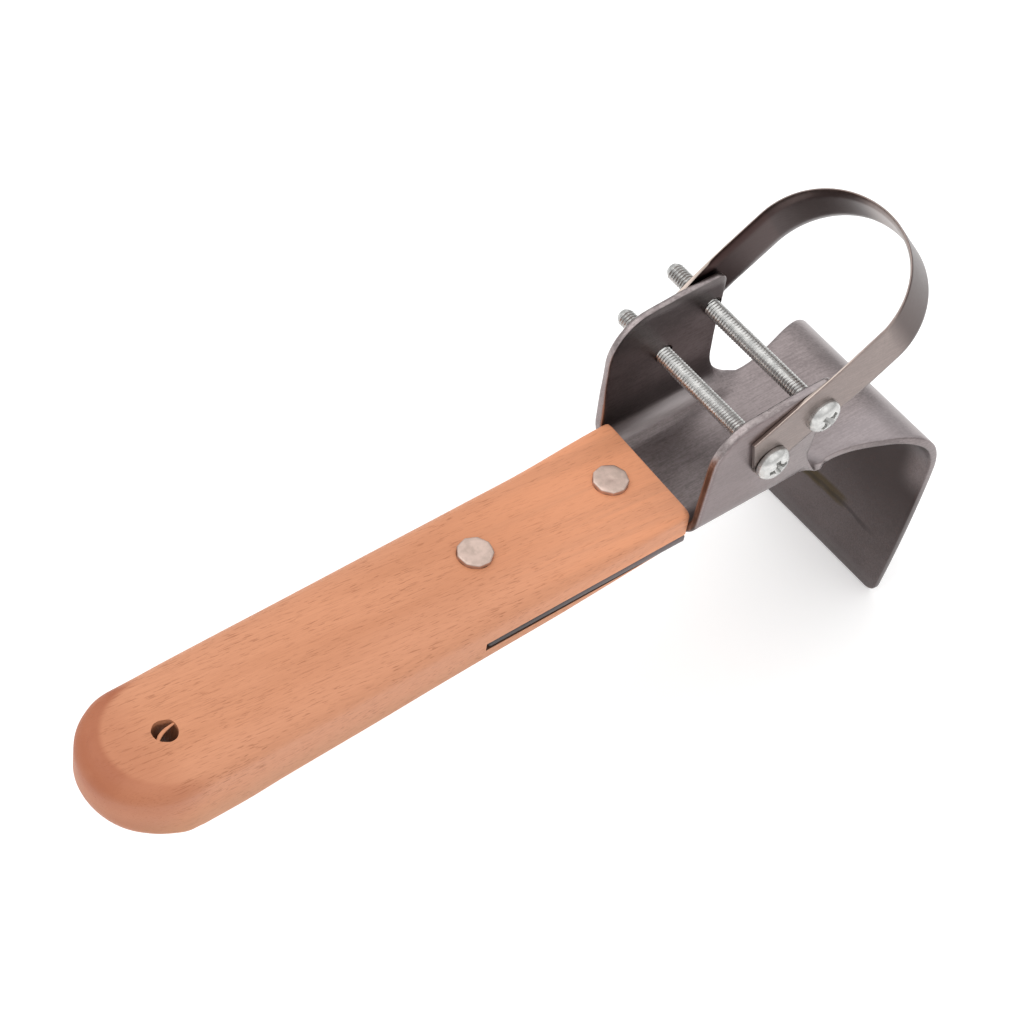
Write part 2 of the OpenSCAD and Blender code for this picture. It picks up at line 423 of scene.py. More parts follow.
def bent(x, t):
    """Place and normal of a point of the flat blank: x along the tool, t across it."""
    side = abs(t)
    sign = 1 if t >= 0 else -1
    curl = 1 - ease((x - EAR_FRONT + 1) / 9)
    if x < EAR_REAR - 0.3:
        curl = 0.0
    y, z, lean = curl_up(side, curl)
    normal = Vector((0, -sign * math.sin(lean), math.cos(lean)))
    place = Vector((x, sign * y, FLOOR_MID + z))
    if x > PLATE_END:
        angle = min((x - PLATE_END) / HOOK_MID, HOOK_ANGLE)
        rest = x - PLATE_END - angle * HOOK_MID
        last = angle + rest * BLADE_CURVE
        ahead = (math.sin(last) - math.sin(angle)) / BLADE_CURVE
        down = (math.cos(angle) - math.cos(last)) / BLADE_CURVE
        place.x = PLATE_END + HOOK_MID * math.sin(angle) + ahead
        place.z -= HOOK_MID * (1 - math.cos(angle)) + down
        normal = Vector((math.sin(last), 0, math.cos(last)))
    place.y += MID - 0.5 * ease((x - PLATE_END + 8) / 12)
    # the far ear is a little out of true
    if t > BEND_START + 2:
        front = ease((x - EAR_FRONT + 8) / 6) * (1 - ease((x - EAR_FRONT - 3) / 6))
        place.x += 0.3 * front * ease((t - BEND_START - 2) / 5)
    if t > BEND_END:
        place.x += 0.25 * ease((t - BEND_END - 6) / 8) * (1 - ease((x - EAR_REAR - 3) / 6))
        place.z += 0.25 * ease((t - BEND_END - 14) / 6) * ease((x - EAR_REAR - 6) / 6)
    return place, normal


def across(z):
    """Distance across the blank at which an ear reaches height z."""
    end_height = FLOOR_MID + BEND_MID * (1 - math.cos(BEND_ANGLE))
    return BEND_END + (z - end_height) / math.cos(LEAN)


def arc(cx, cy, r, start, end, steps):
    return [(cx + r * math.cos(math.radians(start + (end - start) * k / steps)),
             cy + r * math.sin(math.radians(start + (end - start) * k / steps)))
            for k in range(steps + 1)]


def plate_half(x):
    """Half width of the plate, which flares towards the hook."""
    return PLATE_HALF + FLARE * ease((x - PLATE_END + 14) / 27)


def blank_outline():
    """One half of the blank, from its rear end to its front end."""
    points = [(FRONT - 51.9, 0.0)]
    points += arc(FRONT - 51.1, 13.45, 0.8, 180, 90, 4)
    points += [(FRONT - 30, 14.32), (FRONT - 12, 14.42), (FRONT - 1.15, 14.5)]
    points += [(FRONT - 1.1, BEND_START + 0.6), (EAR_REAR, BEND_START + 0.6)]
    points += arc(EAR_REAR + 10, across(EAR_TOP - 10.5), 10, 180, 97, 16)
    points += [(EAR_REAR + 14, across(EAR_TOP - 0.35)), (EAR_FRONT - 12, across(EAR_TOP - 0.05))]
    points += arc(EAR_FRONT - 2.5, across(EAR_TOP - 2.5), 2.5, 90, 4, 8)
    points += arc(EAR_FRONT + 7.1, across(TOP + 3.9), 8.4, 177, 262, 20)
    x = EAR_FRONT + 8
    while x < PLATE_END + HOOK_ARC:
        points.append((x, plate_half(x)))
        x += 1.2
    points.append((PLATE_END + HOOK_ARC + 2, plate_half(x)))
    points += arc(SHEET_END - 3, 17.5, 3, 90, 0, 8)
    points.append((SHEET_END, 0.0))
    return points


def spaced(points, gap):
    """The same outline with points no further apart than gap."""
    out = []
    for a, b in zip(points, points[1:]):
        count = max(1, math.ceil(math.dist(a, b) / gap))
        out += [(a[0] + (b[0] - a[0]) * k / count, a[1] + (b[1] - a[1]) * k / count)
                for k in range(count)]
    return out


def inset(loop, amount):
    """The loop moved towards its inside."""
    moved = []
    count = len(loop)
    for i, p in enumerate(loop):
        a, b = loop[i - 1], loop[(i + 1) % count]
        dx, dy = b[0] - a[0], b[1] - a[1]
        length = math.hypot(dx, dy)
        moved.append((p[0] - dy / length * amount, p[1] + dx / length * amount))
    return moved


def sheet_edge_depth(x):
    """Share of the sheet's thickness that is left at x, near the ground edge of the hook."""
    return 1.0 if x < SHEET_END - GROUND else 1 - 0.62 * (x - SHEET_END + GROUND) / GROUND


def blank_loop():
    """The whole outline of the blank, once round, without points that nearly coincide."""
    half = spaced(blank_outline(), 1.1)
    other = [(x, -t) for x, t in reversed(half) if t > 1e-6]
    loop = [p for p in half if p[1] > 1e-6 or p[0] < FRONT] + [(SHEET_END, 0.0)] + other
    clean = [loop[0]]
    for p in loop[1:]:
        if math.dist(p, clean[-1]) > 0.05:
            clean.append(p)
    return list(reversed(clean))


def blank_holes():
    """Rings of the screw holes in both ears and of the rivet holes in the tang."""
    holes = []
    for (x, z), (ahead, up) in ((LOWER, (0.22, 0.15)), (UPPER, (0.0, 0.0))):
        for sign in (1, -1):
            holes.append(circle(x + ahead, sign * across(z + up), CROSS_HOLE_R, 28))
    for node in RIVETS:
        x, y = rivet_axis(node)
        holes.append(circle(x, y - MID, RIVET_R, 20))
    return holes


def is_inside(p, ring):
    odd = False
    for (x0, y0), (x1, y1) in zip(ring, ring[1:] + ring[:1]):
        if (y0 > p[1]) != (y1 > p[1]) and p[0] < (x1 - x0) * (p[1] - y0) / (y1 - y0) + x0:
            odd = not odd
    return odd


def clear(p, ring, gap=0.5):
    return all(math.dist(p, q) > gap for q in ring)


def blank_grid(inner, holes):
    """Evenly spaced points of the blank that keep clear of every ring."""
    columns = int((SHEET_END - FRONT + 54) / MESH_STEP)
    rows = int(44 / MESH_STEP)
    points = []
    for i in range(columns):
        for j in range(-rows, rows + 1):
            p = (FRONT - 53 + i * MESH_STEP, j * MESH_STEP)
            if is_inside(p, inner) and clear(p, inner) and not any(
                    is_inside(p, h) or not clear(p, h) for h in holes):
                points.append(p)
    return points


def blank_faces(inner, holes):
    """Triangulates the blank: its points, its faces, and the point each ring point became."""
    points, edges = [], []
    for ring in [inner] + holes:
        start = len(points)
        points += ring
        edges += [(start + k, start + (k + 1) % len(ring)) for k in range(len(ring))]
    points += blank_grid(inner, holes)
    vectors, _, faces, origins, _, _ = delaunay_2d_cdt(
        [Vector(p) for p in points], edges, [], 1, 1e-5)

    def kept(face):
        x = sum(vectors[i][0] for i in face) / len(face)
        y = sum(vectors[i][1] for i in face) / len(face)
        return is_inside((x, y), inner) and not any(is_inside((x, y), h) for h in holes)

    index = {s: k for k, source in enumerate(origins) for s in source}
    return vectors, [f for f in faces if kept(f)], index


def raised(x, t, share):
    """Point of the bent sheet: share 1 is its upper face and share -1 its lower face."""
    place, normal = bent(x, t)
    dent = 0.06 * noise.noise(Vector((x * 0.035, t * 0.05, 2.0)))
    depth = SHEET / 2 * sheet_edge_depth(x)
    if share > 0:
        depth *= 1 - 0.45 * ease((t - BEND_END - 3) / 9)
    shift = SHEET / 2 * (1 - sheet_edge_depth(x)) if x > SHEET_END - 6 else 0.0
    return place + normal * (share * depth + dent + shift)


def frame_mesh():
    loop = blank_loop()
    inner = inset(loop, RIM)
    inner_count = len(inner)
    holes = blank_holes()
    points, faces, index = blank_faces(inner, holes)
    bm = bmesh.new()
    top = [bm.verts.new(raised(p[0], p[1], 1.0)) for p in points]
    low = [bm.verts.new(raised(p[0], p[1], -1.0)) for p in points]
    for face in faces:
        bm.faces.new([top[i] for i in face])
        bm.faces.new([low[i] for i in reversed(face)])
    # walls of the holes
    start = inner_count
    for hole in holes:
        ids = [index[start + k] for k in range(len(hole))]
        start += len(hole)
        for a, b in zip(ids, ids[1:] + ids[:1]):
            bm.faces.new((top[a], top[b], low[b], low[a]))
    # rounded rim along the outline
    rim = [[top[index[k]] for k in range(inner_count)]]
    for share, out in ((0.86, 0.7), (0.55, 1.0), (-0.55, 1.0), (-0.86, 0.7)):
        line = inset(loop, RIM * (1 - out))
        rim.append([bm.verts.new(raised(x, t, share)) for x, t in line])
    rim.append([low[index[k]] for k in range(inner_count)])
    for a, b in zip(rim, rim[1:]):
        for k in range(inner_count):
            j = (k + 1) % inner_count
            bm.faces.new((a[k], a[j], b[j], b[k]))
    return bm


# ---------------------------------------------------------------- loop blade

REACH = 33.8
STRIP_LOW, STRIP_HIGH = -3.5, 10.4
STRIP = 1.0
LINE_R = LOOP_R - STRIP / 2
LOOP_LENGTH = 2 * REACH + math.pi * LINE_R
END_R = 4.1
END_KNEE, END_BACK, END_SLOPE = 1.01, 3.97, 0.2545


def loop_line(u):
    """Middle line of the strip and its outward side: u runs from the near end to the far end."""
    turn = math.pi * LINE_R
    if u < REACH:
        return Vector((u, -LINE_R)), Vector((0, -1))
    if u < REACH + turn:
        a = (u - REACH) / LINE_R - math.pi / 2
        out = Vector((math.cos(a), math.sin(a)))
        return Vector((REACH + LINE_R * math.cos(a), LINE_R * math.sin(a))), out
    return Vector((REACH - (u - REACH - turn), LINE_R)), Vector((0, 1))


def strip_end(n):
    """How far the strip's end lies behind the lower screw, n across the strip."""
    if n > END_KNEE:
        return END_BACK - (n - END_KNEE) * END_SLOPE
    return math.sqrt(max(0.0, END_R * END_R - n * n)) if n > -END_R else 0.0


def ear_face(z):
    """Outer face of the ears at height z, from the middle plane."""
    bend_side = BEND_START + BEND_MID * math.sin(BEND_ANGLE)
    bend_top = FLOOR_MID + BEND_MID * (1 - math.cos(BEND_ANGLE))
    return bend_side + SHEET / 2 + (z - bend_top) * math.tan(LEAN)


def loop_point(u, n, side):
    """Place of a point of the strip: u along it, n across it, side out from its middle."""
    line, out = loop_line(u)
    middle = LOOP_LENGTH / 2
    turn = ease(1.25 - abs(u - middle) / 30)
    width = STRIP_HIGH - STRIP_LOW
    ahead = max(0.0, out.x)
    far = ease((u - middle + 20) / 40)
    n += 0.5 * ahead * (STRIP_HIGH - n) / width
    n += 0.55 * (1 - far) * turn * (n - STRIP_LOW) / width
    n += 0.3 * far * (1 - ahead) * ease((line.x - 14) / 10) * (n - STRIP_LOW) / width
    lean = 0.1 * (n - STRIP_LOW) * ahead ** (0.8 + 1.2 * far)
    side += 0.3 * far * (1 - ahead) * ease((line.x - 8) / 8)
    wave = 0.12 * noise.noise(Vector((u * 0.06, n * 0.03, 5.0)))
    s, c = math.sin(TILT), math.cos(TILT)
    z = LOWER[1] + line.x * s + n * c
    gap = LOOP_R - STRIP - ear_face(z) - 0.08
    if line.y > 0:
        pull = 0.6 * max(0.0, gap) * (1 - ease((line.x - 6) / 11))
    else:
        pull = max(0.0, gap) * (1 - ease((line.x - 12) / 14))
    p = line + out * (side - lean - pull + wave * turn)
    return Vector((LOWER[0] + p.x * c - n * s, MID + p.y, LOWER[1] + p.x * s + n * c))


def thinned(u, n, side):
    """The strip is flattened where it is clamped and drawn out to thin edges round the loop."""
    edge = min(n - STRIP_LOW, STRIP_HIGH - n)
    free = ease((min(u, LOOP_LENGTH - u) - 10) / 12)
    if side < 0:
        return side + 0.55 * (1 - ease(edge / 2.4)) * free
    return side - 0.12 * (1 - free)


def strip_profile():
    """Points (n, side) round the strip's section."""
    edge = 0.2
    count = 16
    flat = STRIP_HIGH - STRIP_LOW - 2 * edge
    corner = ((0.03, 0.08), (0.0, 0.18), (0.0, 0.3))
    profile = [(STRIP_LOW + edge + flat * k / count, STRIP / 2) for k in range(count + 1)]
    profile += [(STRIP_HIGH - back, STRIP / 2 - down) for back, down in corner]
    profile += [(STRIP_HIGH - edge - flat * k / count, -STRIP / 2) for k in range(count + 1)]
    profile += [(STRIP_LOW + back, STRIP / 2 - down) for back, down in reversed(corner)]
    return profile


def cross_drill(x, z):
    """Cutter for a screw hole across the tool."""
    tool = bmesh.new()
    ring = circle(x, z, CROSS_HOLE_R, 32)
    rings_to_mesh(tool, [[Vector((px, y, pz)) for px, pz in ring] for y in (-40, 40)])
    return tool


def loop_mesh():
    bm = bmesh.new()
    profile = strip_profile()
    steps = 190
    rings = []
    for k in range(steps + 1):
        t = k / steps
        ring = []
        for n, side in profile:
            end = strip_end(n)
            u = -end + (LOOP_LENGTH + 2 * end) * t
            ring.append(loop_point(u, n, thinned(u, n, side)))
        rings.append(ring)
    rows = rings_to_mesh(bm, rings, cap_start=False, cap_end=False)
    for row in (rows[0], rows[-1]):
        bm.faces.new(row)
    return cut(bm, [cross_drill(x, z) for x, z in (LOWER, UPPER)])


# ---------------------------------------------------------------- rivets, screws and nuts

def turned(profile, count, place, wobble=0.0, seed=0.0, facets=0):
    """A body turned from (radius, height) points; place maps a point to the tool's frame."""
    rings = []
    for r, h in profile:
        ring = []
        for i in range(count):
            a = 2 * math.pi * i / count
            rough = 1 + wobble * noise.noise(Vector((2.2 * math.cos(a) + seed, 2.2 * math.sin(a), 0)))
            if facets:
                part = 2 * math.pi / facets
                rough *= 0.2 + 0.8 * math.cos(part / 2) / math.cos((a + seed) % part - part / 2)
                rough *= 1.02
            ring.append(place(Vector((r * rough * math.cos(a), r * rough * math.sin(a), h))))
        rings.append(ring)
    bm = bmesh.new()
    rings_to_mesh(bm, rings)
    return bm


def rivet_mesh(node):
    """Rivet with a flat lower head in the spot face and a domed, slightly uneven upper head."""
    low, high = node_box(node)
    x, y = rivet_axis(node)
    head = (high.x - low.x) / 2 + 0.15
    cap = 1.0
    profile = [(0.35, low.z + 0.1), (head - 0.5, low.z), (head - 0.15, low.z + 0.1),
               (head, low.z + 0.35), (head, low.z + cap), (RIVET_R, low.z + cap),
               (RIVET_R, TOP - 0.35), (head - 0.3, TOP - 0.35), (head, TOP - 0.1),
               (head, TOP + 0.68), (head - 0.06, TOP + 0.82), (head - 0.2, TOP + 0.93),
               (head - 0.45, high.z - 0.02), (head - 1.2, high.z), (head * 0.45, high.z - 0.03),
               (0.9, high.z - 0.05), (0.55, high.z - 0.1), (0.3, high.z - 0.12)]
    return turned(profile, 72, lambda p: Vector((x + p.x, y + p.y, p.z)), 0.014, x, 9)


THREAD = 0.7
SCREW_R = 2.0
HEAD_R = 3.95
HEAD_IN = 0.65


def screw_shaft(place, length):
    """Shaft with a helical groove and a narrower tip."""
    count = 28
    per_turn = 7
    total = int(length / THREAD * per_turn)
    rings = []
    for k in range(total + 1):
        h = length * k / total
        ring = []
        for i in range(count):
            a = 2 * math.pi * i / count
            phase = (h / THREAD - i / count) % 1.0
            depth = 0.24 * min(1.0, max(0.0, abs(phase - 0.5) * 2.5 - 0.12))
            end = min(1.0, (length - h) / 1.1)
            r = min(SCREW_R - depth, SCREW_R - 0.62 * (1 - end))
            ring.append(place(Vector((r * math.cos(a), r * math.sin(a), h))))
        rings.append(ring)
    shaft = bmesh.new()
    rings_to_mesh(shaft, rings)
    return shaft


def recess_arm(place, angle):
    """Cutter for one arm of the crossed recess, narrower towards its bottom."""
    c, s = math.cos(angle), math.sin(angle)
    rings = []
    for h, long, wide in ((-3.2, 2.7, 0.7), (-1.7, 1.9, 0.5), (-0.6, 0.8, 0.38)):
        corners = [(sx * long, sy * wide) for sx, sy in ((1, -1), (1, 1), (-1, 1), (-1, -1))]
        rings.append([place(Vector((x * c - y * s, x * s + y * c, h))) for x, y in corners])
    tool = bmesh.new()
    rings_to_mesh(tool, rings)
    return tool


def screw_head(place, turn):
    """Domed head with its crossed recess turned by so many degrees."""
    profile = [(1.6, 0.3), (1.9, 0.0), (HEAD_R - 0.12, 0.0), (HEAD_R, -0.12), (HEAD_R, -0.8),
               (HEAD_R - 0.05, -1.05), (HEAD_R - 0.18, -1.35), (HEAD_R - 0.45, -1.72),
               (HEAD_R - 0.9, -2.1), (HEAD_R - 1.5, -2.38), (HEAD_R - 2.3, -2.54), (0.6, -2.6)]
    dome = turned(profile, 64, place)
    cutters = [recess_arm(place, math.radians(turn + 90 * k)) for k in range(2)]
    cutters.append(turned([(1.5, -3.0), (1.15, -2.0), (0.9, -0.9), (0.2, -0.4)], 24, place))
    return cut(dome, cutters)


def screw_mesh(node, turn):
    x, z = LOWER if node == "screw_lower" else UPPER
    seat = MID - LOOP_R + HEAD_IN
    tip = node_box(node)[1].y - 0.02

    def place(p):
        return Vector((x + p.x, seat + p.z, z + p.y))

    shaft = screw_shaft(place, tip - seat)
    bm = screw_head(place, turn)
    spare = bpy.data.meshes.new("spare")
    shaft.to_mesh(spare)
    shaft.free()
    bm.from_mesh(spare)
    bpy.data.meshes.remove(spare)
    return bm


NUT_HALF = 3.5
NUT_TURN = math.radians(15)
NUT_IN = {"nut_lower": 0.7, "nut_upper": 0.25}


def nut_radius(a, limit):
    """Distance of the hexagon's side in direction a, cut back to the limit of the chamfer."""
    local = (a + math.pi / 6) % (math.pi / 3) - math.pi / 6
    return min(limit, NUT_HALF / math.cos(local))


def nut_mesh(node):
    x, z = LOWER if node == "nut_lower" else UPPER
    low, high = node_box(node)
    count = 72
    depth = high.y - low.y
    seat = low.y - NUT_IN[node]
    chamfer = [(0.0, 3.3), (0.05, 3.42)] + [(0.08 + 0.05 * k, 3.5 + 0.09 * k) for k in range(7)]
    levels = [(0.0, 2.05)] + chamfer + [(depth - h, limit) for h, limit in reversed(chamfer)]
    levels += [(depth, 2.3), (depth - 0.3, 2.02)]
    rings = []
    for h, limit in levels:
        ring = []
        for a in (2 * math.pi * i / count for i in range(count)):
            r = nut_radius(a, limit)
            ring.append(Vector((x + r * math.cos(a + NUT_TURN), seat + h,
                                z + r * math.sin(a + NUT_TURN))))
        rings.append(ring)
    bm = bmesh.new()
    rows = rings_to_mesh(bm, rings, cap_start=False, cap_end=False)
    for i in range(count):
        j = (i + 1) % count
        bm.faces.new((rows[-1][i], rows[-1][j], rows[0][j], rows[0][i]))
    return bm


# ---------------------------------------------------------------- materials

class Nodes:
    """Short calls for building one material's nodes."""

    def __init__(self, name):
        self.material = bpy.data.materials.new(name)
        self.material.use_nodes = True
        self.tree = self.material.node_tree
        self.tree.nodes.clear()
        self.out = self.tree.nodes.new("ShaderNodeOutputMaterial")
        self.shader = self.tree.nodes.new("ShaderNodeBsdfPrincipled")
        self.join(self.shader.outputs[0], self.out.inputs["Surface"])
        coords = self.tree.nodes.new("ShaderNodeTexCoord")
        self.place = coords.outputs["Object"]
        self.normal = coords.outputs["Normal"]

    def join(self, a, b):
        self.tree.links.new(a, b)

    def feed(self, socket, value):
        if isinstance(value, bpy.types.NodeSocket):
            self.join(value, socket)
        elif value is not None:
            socket.default_value = value

    def scaled(self, x, y, z, source=None, turn=(0, 0, 0)):
        vector = source or self.place
        if any(turn):
            n = self.tree.nodes.new("ShaderNodeMapping")
            self.join(vector, n.inputs["Vector"])
            n.inputs["Rotation"].default_value = tuple(math.radians(a) for a in turn)
            vector = n.outputs[0]
        n = self.tree.nodes.new("ShaderNodeMapping")
        self.join(vector, n.inputs["Vector"])
        n.inputs["Scale"].default_value = (x, y, z)
        return n.outputs[0]

    def noise(self, vector, scale=1.0, detail=3.0, rough=0.5, warp=0.0):
        n = self.tree.nodes.new("ShaderNodeTexNoise")
        self.join(vector, n.inputs["Vector"])
        n.inputs["Scale"].default_value = scale
        n.inputs["Detail"].default_value = detail
        n.inputs["Roughness"].default_value = rough
        n.inputs["Distortion"].default_value = warp
        return n.outputs["Fac"]

    def math(self, kind, a, b=None, c=None, clamp=False):
        n = self.tree.nodes.new("ShaderNodeMath")
        n.operation = kind
        n.use_clamp = clamp
        for socket, value in zip(n.inputs, (a, b, c)):
            self.feed(socket, value)
        return n.outputs[0]

    def times(self, a, b):
        return self.math("MULTIPLY", a, b)

    def plus(self, a, b):
        return self.math("ADD", a, b)

    def span(self, value, a, b, low=0.0, high=1.0, smooth=True):
        n = self.tree.nodes.new("ShaderNodeMapRange")
        n.interpolation_type = "SMOOTHSTEP" if smooth else "LINEAR"
        for socket, v in zip(n.inputs, (value, a, b, low, high)):
            self.feed(socket, v)
        return n.outputs[0]

    def mix(self, amount, a, b, kind="MIX"):
        n = self.tree.nodes.new("ShaderNodeMix")
        n.data_type = "RGBA"
        n.blend_type = kind
        self.feed(n.inputs[0], amount)
        self.feed(n.inputs[6], a if isinstance(a, bpy.types.NodeSocket) else (*a, 1))
        self.feed(n.inputs[7], b if isinstance(b, bpy.types.NodeSocket) else (*b, 1))
        return n.outputs[2]

    def axis(self, name):
        n = self.tree.nodes.new("ShaderNodeSeparateXYZ")
        self.join(self.place, n.inputs[0])
        return n.outputs[name]

    def facing(self, name):
        n = self.tree.nodes.new("ShaderNodeSeparateXYZ")
        self.join(self.normal, n.inputs[0])
        return n.outputs[name]

    def bump(self, height, distance, strength=1.0, below=None):
        n = self.tree.nodes.new("ShaderNodeBump")
        n.inputs["Strength"].default_value = strength
        n.inputs["Distance"].default_value = distance
        self.join(height, n.inputs["Height"])
        if below is not None:
            self.join(below, n.inputs["Normal"])
        return n.outputs[0]

    def set(self, **values):
        names = {"color": "Base Color", "metal": "Metallic", "rough": "Roughness",
                 "normal": "Normal", "coat": "Coat Weight", "coat_rough": "Coat Roughness",
                 "specular": "Specular IOR Level", "anisotropic": "Anisotropic"}
        for key, value in values.items():
            socket = self.shader.inputs[names[key]]
            if isinstance(value, tuple):
                value = (*value, 1)
            self.feed(socket, value)
        return self.material


def beech():
    """Reddish beech with dark flecks, a burnished butt and a bruised front corner."""
    n = Nodes("beech")
    turn = (0, 0, 6)
    fleck = n.noise(n.scaled(340, 4000, 4000, turn=turn), 1.0, 2.0, 0.5, 0.2)
    dense = n.span(n.noise(n.scaled(60, 260, 260, turn=turn), 1.0, 2.0), 0.36, 0.6, 0.4, 1.0)
    fleck = n.times(n.span(fleck, 0.565, 0.68), dense)
    long_fleck = n.span(n.noise(n.scaled(190, 2300, 2300, turn=turn), 1.0, 3.0, 0.55, 0.3), 0.59, 0.74)
    fine = n.noise(n.scaled(90, 3600, 3600, turn=turn), 1.0, 4.0, 0.6)
    wavy = n.noise(n.scaled(9, 45, 45), detail=2.0)
    broad = n.noise(n.scaled(16, 120, 120, turn=turn), 1.0, 3.0, 0.55, 0.8)
    base = n.mix(n.span(broad, 0.34, 0.68), (0.552, 0.229, 0.115), (0.630, 0.273, 0.144))
    base = n.mix(n.span(wavy, 0.42, 0.66), base, (0.605, 0.268, 0.147))
    base = n.mix(n.times(n.span(fine, 0.3, 0.75), 0.30), base, (0.44, 0.180, 0.092))
    base = n.mix(n.times(fleck, 0.60), base, (0.31, 0.112, 0.052))
    base = n.mix(n.times(long_fleck, 0.45), base, (0.31, 0.110, 0.050))
    x, y, z = n.axis(0), n.axis(1), n.axis(2)
    # redder wood towards the front
    streaks = n.noise(n.scaled(12, 260, 260, turn=turn), 1.0, 3.0, 0.55, 0.6)
    redder = n.times(n.span(x, 0.055, 0.115), n.span(streaks, 0.36, 0.62, 0.35, 1.0))
    base = n.mix(n.times(redder, 0.45), base, (0.86, 0.352, 0.175))
    # burnished end grain of the butt
    reach = n.math("SQRT", n.plus(n.times(x, x), n.times(y, y)))
    past = n.span(x, 0.004, -0.004)
    ring = n.times(past, n.span(reach, 0.0114, 0.0130))
    ring = n.times(ring, n.span(z, -0.001, 0.005))
    ring = n.times(ring, n.span(y, -0.012, -0.001, 0.4, 1.0))
    patch = n.span(n.noise(n.scaled(120, 120, 200), 1.0, 3.0), 0.3, 0.6, 0.5, 1.0)
    worn = n.times(ring, n.span(patch, 0.0, 1.0, 0.45, 1.0, smooth=False))
    base = n.mix(n.times(worn, 0.95), base, (0.32, 0.085, 0.034))
    base = n.mix(n.span(x, 0.001, -0.009, 0.0, 0.45), base, (0.45, 0.165, 0.082))
    under = n.times(n.span(x, -0.004, -0.012), n.span(z, 0.004, -0.002))
    base = n.mix(n.times(under, 0.7), base, (0.40, 0.150, 0.076))
    # painted reflection of the floor: paler lower edge of the two sides
    side = n.times(n.span(n.math("ABSOLUTE", n.facing(1)), 0.6, 0.95),
                  n.span(z, 0.002, -0.005))
    base = n.mix(n.times(side, 0.45), base, (0.44, 0.225, 0.120))
    # painted shade inside the hanging hole
    inner = n.times(n.span(reach, 0.0034, 0.0028), n.span(z, 0.0072, 0.0064))
    base = n.mix(n.times(inner, 0.8), base, (0.20, 0.082, 0.042))
    # painted shade on the walls of the slot for the tang
    slot_shade = n.times(n.span(n.math("ABSOLUTE", n.facing(1)), 0.9, 0.7),
                  n.span(n.math("ABSOLUTE", n.plus(z, -0.0007)), 0.0013, 0.0011))
    slot_shade = n.times(slot_shade, n.span(x, 0.0665, 0.0672))
    base = n.mix(n.times(slot_shade, 0.85), base, (0.05, 0.03, 0.022))
    # bruised front corner on the near side
    corner = [n.math("SUBTRACT", a, b) for a, b in ((x, 0.1193), (y, -0.0128), (z, 0.0068))]
    square = [n.times(c, c) for c in corner]
    away = n.math("SQRT", n.plus(n.plus(square[0], square[1]), square[2]))
    bruise = n.times(n.span(away, 0.0021, 0.0011), patch)
    base = n.mix(n.times(bruise, 0.8), base, (0.13, 0.045, 0.02))
    height = n.plus(n.times(fleck, -1.0), n.times(fine, 0.6))
    rough = n.span(n.plus(fine, fleck), 0.3, 1.6, 0.46, 0.66, smooth=False)
    return n.set(color=base, rough=rough, normal=n.bump(height, 0.00004, 0.6), specular=0.35)


def strip_marks(n, base, x, y, z):
    """Colours of the loop strip, in the order in which they cover one another."""
    # painted shade on the inner face of the loop's far arm and round the inside of its bend, deeper at
    # the clamped end and towards the loop's tip
    inner = n.span(n.facing(1), -0.15, -0.45)
    inner = n.times(inner, n.span(y, 0.0, 0.004))
    start = n.plus(x, n.times(z, 0.62))
    tip = n.times(inner, n.span(start, 0.1860, 0.1876))
    seat = n.times(inner, n.span(x, 0.162, 0.149, 0.35, 1.0))
    base = n.mix(n.times(seat, 0.6), base, (0.07, 0.058, 0.052))
    bend_shade = n.times(inner, n.span(n.facing(0), -0.55, -0.12, 0.55, 0.88))
    base = n.mix(bend_shade, base, (0.038, 0.017, 0.016))
    base = n.mix(n.times(tip, 0.35), base, (0.030, 0.024, 0.024))
    # painted shade on the near arm's outer face towards the turn, and on faces turned to the front
    outer = n.times(n.span(n.facing(1), -0.3, -0.6), n.span(y, -0.004, -0.008))
    outer = n.times(outer, n.span(x, 0.158, 0.176, 0.0, 0.45))
    base = n.mix(outer, base, (0.090, 0.062, 0.058))
    front_facing_shade = n.times(n.span(n.facing(0), 0.0, 0.24), 0.85)
    base = n.mix(front_facing_shade, base, (0.045, 0.024, 0.021))
    # painted light on the upper edge of the flattened ends, which lie in shade
    painted_edge_light = n.times(n.span(n.facing(2), 0.5, 0.75), n.span(x, 0.157, 0.147))
    base = n.mix(n.times(painted_edge_light, 0.8), base, (0.50, 0.42, 0.37))
    return base


